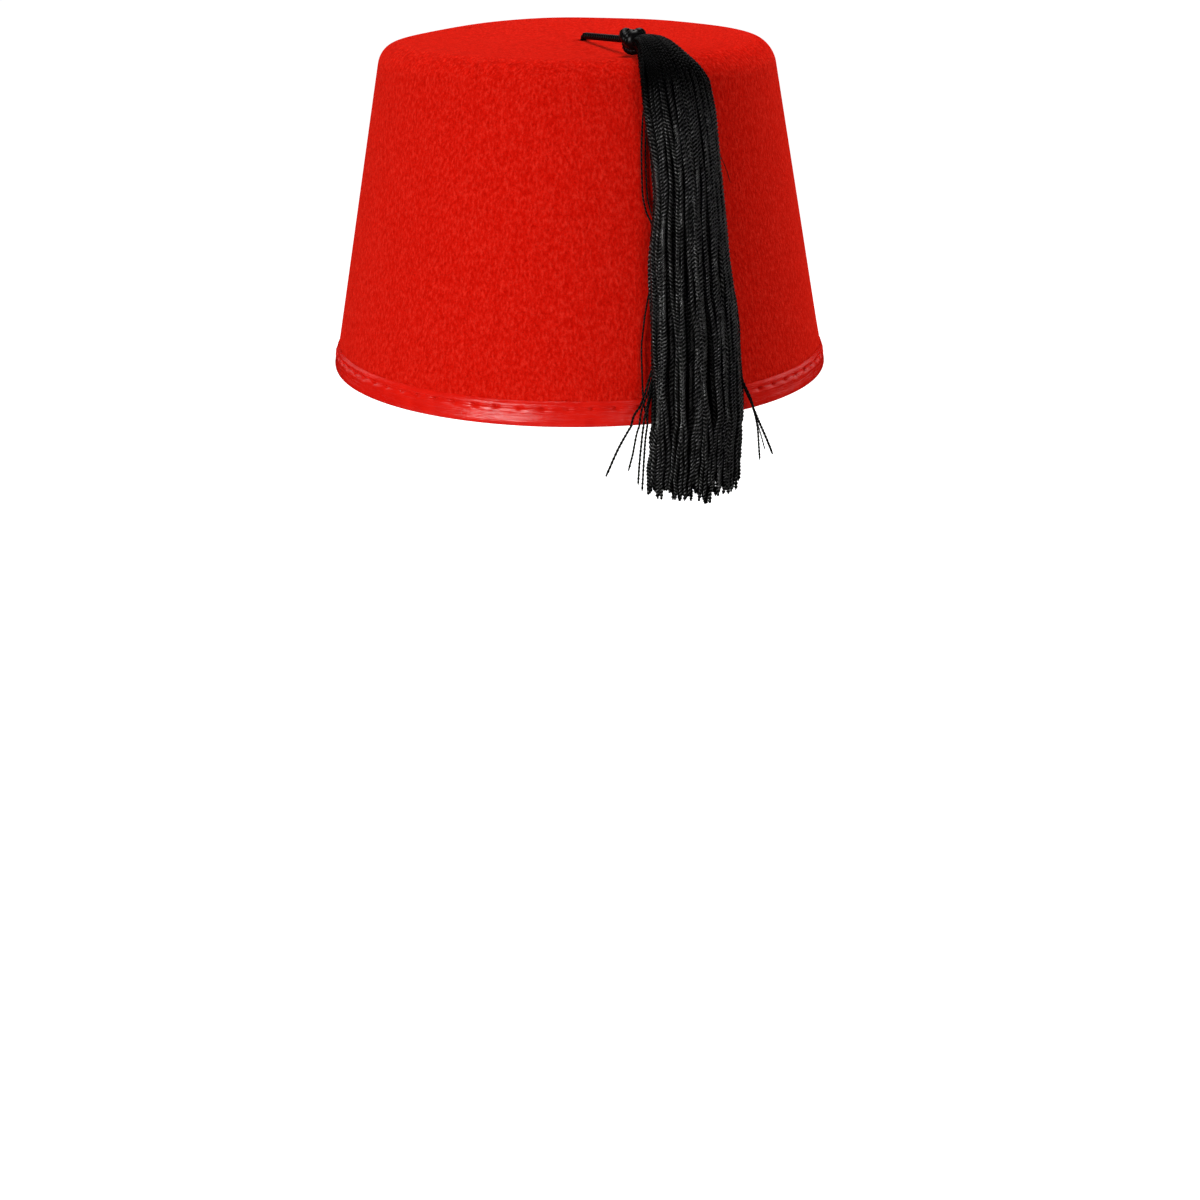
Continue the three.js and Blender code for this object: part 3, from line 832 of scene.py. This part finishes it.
def skein_point(path, across, layer, radius):
    """A point of the skein. Its angle runs from the left edge to the right one with
    across. Its height is rest + lift + thickness (edge + swell), where the swell is
    layer sqrt(1 - across^2), times 1 - edge above the widest place and edge below it.
    Edges and thickness are drawn in by the thread's radius."""
    left_edge, right_edge, thick, edge, lift = [smooth_table(SKEIN[:, 0], column, path, ROUNDING)
                                                for column in SKEIN[:, 1:].T]
    half, deep, _, _ = felt_row(path)
    middle, spread = np.radians((left_edge + right_edge) / 2), np.radians((right_edge - left_edge) / 2)
    reach = np.hypot(half * np.cos(middle), deep * np.sin(middle))
    spread = np.maximum(spread - radius / reach, 0.2 * spread)
    swell = layer * np.sqrt(np.clip(1 - across ** 2, 0, 1))
    swell = swell * np.where(swell > 0, 1 - edge, edge)
    body = np.maximum(thick * MM - 2 * radius, 1 * MM)
    return felt_point(path, middle + spread * across,
                      SKEIN_REST + radius + lift * MM + body * (edge + swell))


def tip_height(across):
    """How far below the rim the threads end, in metres, at a place across the skein."""
    places = [-1, -0.86, -0.74, -0.6, -0.5, -0.22, 0.16, 0.24, 0.34, 0.64, 0.86, 0.95, 1]
    drops = [22.0, 23.8, 25.2, 18.5, 24.8, 25.4, 25.4, 27.6, 25.2, 24.8, 25.0, 20.5, 17.5]
    return np.interp(across, places, drops) * MM


# %% [markdown]
# The threads of a layer start evenly spaced and are then drawn together in clumps, with
# dark gaps between them, as hanging threads do. A few waves of their own move each thread
# sideways and in and out.

# %% Threads of the skein
THREAD_R = 0.78 * MM
TWIST = 2.5 * MM
THREAD_STEPS = 420
LOWEST_PATH = 3.97
FULL_WIDTH = 19.5  # degrees across the skein where a thread has its whole radius
CORE_ANGLE, CORE_LIFT = np.radians(25.0), -60 * MM  # a line deep in the hat behind the skein


def wandering(count, grid, lengths, heights):
    """Smooth wandering for each of count threads: a sum of sine waves over the grid, with
    random phases and lengths near those given."""
    total = np.zeros((count, len(grid)))
    for length, height in zip(lengths, heights):
        rate = 2 * np.pi / (length * rng.uniform(0.8, 1.25, count))
        total += height * rng.uniform(0.5, 1.2, count)[:, None] * np.sin(
            rate[:, None] * grid + rng.uniform(0, 2 * np.pi, count)[:, None])
    return total


def skein_threads(count, layer, reach, drawn, wander, swollen=1.0):
    """Lines of one layer's threads, dense along the path, their radius at each point and
    their outward side, away from a line deep in the hat. Across = even places, drawn
    towards their clump's middle by a share that changes along the way, plus waves. The
    radius follows the room that the skein has."""
    base = np.linspace(-reach, reach, count)
    clump = np.cumsum(rng.uniform(0, 1, count) < 0.3)
    middle = np.array([base[clump == c].mean() for c in clump])
    ends = 3 + tip_height(base) / TASSEL_DROP + rng.normal(0, 0.03, count)
    ends -= rng.uniform(0.04, 0.16, count) * (rng.uniform(0, 1, count) < 0.3)
    if layer < 1:
        ends -= rng.uniform(0, 0.09, count)
    grid = np.linspace(0, 1, THREAD_STEPS)
    path = SKEIN_START + (np.minimum(ends, LOWEST_PATH)[:, None] - SKEIN_START) * grid
    open_up = smooth_step(path, 1.5, 2.4)
    gathered = 1 - 0.7 * smooth_step(path, 2.85, 3.2)
    pull = drawn * (0.65 + 0.35 * np.sin(grid * 9 + 2.1 * clump[:, None])) * open_up * gathered
    across = base[:, None] + (middle - base)[:, None] * pull
    sideways = wandering(count, grid, [0.6, 0.27, 0.1], [wander, wander * 0.6, wander * 0.45])
    across = across + sideways * (0.25 + 0.75 * open_up) * (0.4 + 0.6 * gathered)
    across = np.clip(across, -1, 1)
    depth = layer + wandering(count, grid, [0.35, 0.15, 0.07], [0.05, 0.04, 0.03]) * open_up
    depth = np.clip(depth, -1, 1)
    width = smooth_table(SKEIN[:, 0], SKEIN[:, 2] - SKEIN[:, 1], path, ROUNDING)
    room = np.clip(np.sqrt(width / FULL_WIDTH), 0.5, 1)
    radius = swollen * THREAD_R * room * rng.uniform(0.94, 1.06, count)[:, None]
    lines = skein_point(path, across, depth, radius)
    return lines, radius, lines - felt_point(path, CORE_ANGLE + 0 * path, CORE_LIFT)


def thread_piece(name, lines, radius, out, sides, per_turn, depth, finish):
    """Threads as twisted tubes with as many rings in each turn of the twist as given.
    The last rings narrow a little, as a cut end does."""
    length = np.linalg.norm(np.diff(lines, axis=1), axis=2).sum(1)
    points, run, old_run = resample(lines, max(12, int(length.max() / TWIST * per_turn)))
    many = len(lines)

    def carried(values):
        """Values at the old points, read at the new ones."""
        return np.stack([np.interp(run[k], old_run[k], values[k]) for k in range(many)])

    outward = np.stack([carried(out[..., axis]) for axis in range(3)], axis=-1)
    cut_end = 0.55 + 0.45 * smooth_step(run[:, -1:] - run, 0, 1.2 * MM)
    hand = np.where(rng.uniform(0, 1, many) < 0.72, 1, -1)
    pitch = TWIST * rng.uniform(0.88, 1.15, many) * hand
    start = rng.uniform(0, 6.28, (many, 1))
    phase = start + 1.1 * np.sin(run / (4.5 * MM) + rng.uniform(0, 6.28, (many, 1)))
    rings = twisted_rings(points, run, carried(radius) * cut_end, outward, sides, 2, pitch, phase, depth)
    piece = tube_piece(name, rings, finish, run)
    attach(piece, "root")
    return piece


outer_threads = skein_threads(25, layer=1.0, reach=0.985, drawn=0.5, wander=0.04)
halves = {"tassel_threads_outer_a": slice(0, None, 2), "tassel_threads_outer_b": slice(1, None, 2)}
outer = [thread_piece(name, *[part[half] for part in outer_threads], sides=8, per_turn=8, depth=0.62,
                      finish=thread_black) for name, half in halves.items()]
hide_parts("tassel")
# The second and inner layers take the darker copy, painted shade for threads deep in the skein
second_threads = skein_threads(25, layer=0.7, reach=0.95, drawn=0.3, wander=0.04)
thread_piece("tassel_threads_second", *second_threads, sides=8, per_turn=6, depth=0.62,
             finish=inner_black_painted_shade)
inner_threads = [skein_threads(24, layer=0.42, reach=0.93, drawn=0.05, wander=0.025, swollen=1.25),
                 skein_threads(23, layer=0.08, reach=0.92, drawn=0.05, wander=0.025, swollen=1.3)]
inner_threads = [np.concatenate(parts) for parts in zip(*inner_threads)]
thread_piece("tassel_threads_inner", *inner_threads, sides=6, per_turn=3, depth=0.35,
             finish=inner_black_painted_shade)
back_threads = skein_threads(23, layer=-0.92, reach=0.94, drawn=0.2, wander=0.04, swollen=1.1)
thread_piece("tassel_threads_back", *back_threads, sides=8, per_turn=4, depth=0.45,
             finish=thread_black)

# %% [markdown]
# Some threads have come loose from the skein. They lie just off its edges on the wall and
# fan out below, thinner than the rest, because they are single plies. Each follows its own
# few points over the felt, told in three lists: path, degrees from the front, and lift in
# millimetres. The number before them is its radius as a share of a whole thread's.

# %% Loose threads
LOOSE = [
    # left of the skein, from its upper part down
    (0.5, [1.93, 2.04, 2.11, 2.21, 2.3, 2.36, 2.41, 2.52],
     [18.6, 17.4, 16.5, 15.8, 15.6, 16.1, 17.3, 18.6], [1.6, 1.4, 1.2, 1.2, 1.2, 1.4, 2.2, 3]),
    (0.4, [2, 2.05, 2.13, 2.21, 2.3, 2.36, 2.42, 2.5],
     [19, 18.1, 17.4, 16.9, 16.8, 17.3, 18.3, 19.6], [1.6, 1.3, 1, 1, 1, 1.2, 2.2, 3]),
    (0.5, [2.52, 2.59, 2.64, 2.72, 2.79, 2.87, 2.93, 3],
     [18, 16.4, 15.3, 14.1, 13.5, 13.4, 13.4, 13.9], [2.4, 1.6, 1.5, 1.5, 1.5, 1.6, 2.2, 3]),
    (0.65, [2.78, 2.85, 2.89, 2.94, 2.99, 3.19, 3.52],
     [17, 14.9, 13.8, 12.4, 10.4, 7.9, 5.1], [3, 3.6, 4, 4, 4, 4, 3.6]),
    (0.55, [2.8, 2.88, 2.93, 2.97, 3.07, 3.28, 3.47],
     [16.5, 14.7, 13.3, 12.3, 11.4, 10.6, 9.7], [3, 4, 4, 4, 4, 4, 3.8]),
    (0.6, [2.84, 2.91, 2.96, 3.02, 3.24, 3.43, 3.63],
     [16, 14.4, 13.4, 12.7, 12.2, 11.9, 11.7], [3, 4, 4.2, 4.2, 4.2, 4, 3.8]),
    (0.6, [2.86, 2.93, 2.98, 3.13, 3.35, 3.53, 3.7],
     [16, 14.4, 13.7, 13.2, 12.9, 12.7, 12.5], [3, 3.6, 4, 4, 4, 4, 4]),
    # right of it, from its upper part down
    (0.55, [2.24, 2.29, 2.35, 2.4, 2.45, 2.51, 2.56, 2.64],
     [34.8, 36, 36.6, 37.1, 36.9, 37.1, 37.4, 36.4], [2.6, 1.9, 1.5, 1.5, 1.5, 1.5, 1.8, 2.6]),
    (0.55, [2.57, 2.62, 2.68, 2.74, 2.8, 2.86, 2.91, 2.99],
     [36.6, 37.7, 38.4, 38.5, 38.1, 37.8, 37.4, 36.4], [2.4, 1.6, 1.5, 1.5, 1.5, 1.6, 2.2, 3]),
    (0.65, [2.8, 2.88, 2.92, 2.99, 3.16, 3.36, 3.55],
     [34.8, 36, 36.8, 38.6, 40.5, 42.7, 44.9], [3, 3.6, 4, 4, 4, 4, 3.6]),
    (0.55, [2.88, 2.95, 3, 3.09, 3.22, 3.4, 3.57],
     [35.6, 37.3, 38.5, 39.2, 39.8, 40.3, 40.8], [3.6, 4, 4.2, 4.2, 4.2, 4, 3.8]),
    (0.35, [3.04, 3.09, 3.2, 3.33, 3.47],
     [38.9, 39.2, 40.1, 41.2, 42.2], [4.4, 4.4, 4.2, 4, 4]),
    # one fine hair at the upper right
    (0.2, [2.12, 2.19, 2.23, 2.27, 2.31],
     [34, 36.1, 38, 39.8, 41], [3.4, 2.6, 2, 1.4, 0.9]),
]
LOOSE_STEPS = 240
even = np.linspace(0, 1, LOOSE_STEPS)
loose_lines, loose_radius = [], []
for size, *columns in LOOSE:
    chosen = catmull_rom(np.array(columns).T, per_span=30)
    path, degrees, lift = [np.interp(even, np.linspace(0, 1, len(chosen)), column) for column in chosen.T]
    loose_lines.append(felt_point(path, np.radians(degrees), lift * MM))
    loose_radius.append(np.full(LOOSE_STEPS, size * THREAD_R))
loose_lines, loose_radius = np.array(loose_lines), np.array(loose_radius)
loose_out = loose_lines - np.array([0, 0, 0.05])
thread_piece("tassel_threads_loose", loose_lines, loose_radius, loose_out, sides=6, per_turn=6, depth=0.4,
             finish=loose_black)

# %% [markdown]
# ## Floor, light and background
# The hat is worn or held up, so it isn't stood on anything: the floor lies well below it.
# Floor and room are pale and only there to be seen. The hat is lit by lamps alone. The
# strongest stands low at the left in front, so the tassel shades the felt on its right,
# and one above lights the flat top. Weaker ones stand at the right and behind, and one
# low down gives the light that a pale floor throws up into the hat. The two at the sides
# behind are in two parts each, and only the weaker part shows in the glossy tape.

# %% Floor and lights
floor_white = Finish("floor_white", (0.75, 0.75, 0.75), 0.9, Specular_IOR_Level=0.0,
                     Emission_Color=(1.0, 1.0, 1.0, 1.0), Emission_Strength=1.05)
FLOOR_Z = -0.5
FLOOR_HALF = 30
corners = [(x * FLOOR_HALF, y * FLOOR_HALF, FLOOR_Z) for x, y in [(-1, -1), (1, -1), (1, 1), (-1, 1)]]
floor_mesh = bpy.data.meshes.new("floor")
floor_mesh.from_pydata(corners, [], [(0, 1, 2, 3)])
floor = bpy.data.objects.new("floor", floor_mesh)
floor.data.materials.append(floor_white.material)
bpy.context.scene.collection.objects.link(floor)
floor.visible_diffuse = False
floor.visible_glossy = False

world = bpy.data.worlds.new("pale_room")
world.use_nodes = True
background = world.node_tree.nodes["Background"]
background.inputs["Color"].default_value = (1, 1, 1, 1)
background.inputs["Strength"].default_value = 1.0
bpy.context.scene.world = world
world.cycles_visibility.diffuse = False
world.cycles_visibility.glossy = False
bpy.context.scene.view_settings.view_transform = "Standard"

HAT_MIDDLE = (0, 0, 0.05)


def area_light(name, place, size, power, target=HAT_MIDDLE, mirrored=True):
    """A square lamp at a place, facing a target, not seen by the camera itself. Light on
    a surface facing it falls off as power / distance squared. One that isn't mirrored
    gives soft light only, with no highlights on glossy pieces."""
    data = bpy.data.lights.new(name, "AREA")
    data.shape = "SQUARE"
    data.size = size
    data.energy = power
    lamp = bpy.data.objects.new(name, data)
    lamp.location = place
    away = Vector(place) - Vector(target)
    lamp.rotation_mode = "QUATERNION"
    lamp.rotation_quaternion = away.to_track_quat("Z", "Y")
    lamp.visible_camera = False
    lamp.visible_glossy = mirrored
    bpy.context.scene.collection.objects.link(lamp)


area_light("key_left", (-1.2, -1.43, 0.3), 0.7, 29)
area_light("front_right", (1.2, -1.5, 0.5), 1.0, 7.5)
area_light("rim_right", (1.5, 0.9, 0.5), 1.0, 19, mirrored=False)
area_light("sheen_right", (1.4, 0.84, 0.47), 0.93, 1.8)
area_light("rim_left", (-1.5, 1.3, 0.6), 1.0, 4.5, mirrored=False)
area_light("sheen_left", (-1.4, 1.21, 0.56), 0.93, 1.5)
area_light("over", (0.0, 0.4, 1.8), 1.0, 31, target=(0, 0, 0.1))
area_light("back_top", (0.2, 1.6, 1.5), 1.2, 8, target=(0, 0, 0.08))
area_light("bounce", (0.0, 0.0, -0.48), 2.4, 15, target=(0, 0.001, 0.05), mirrored=False)
print("lamps:", len(bpy.data.lights))
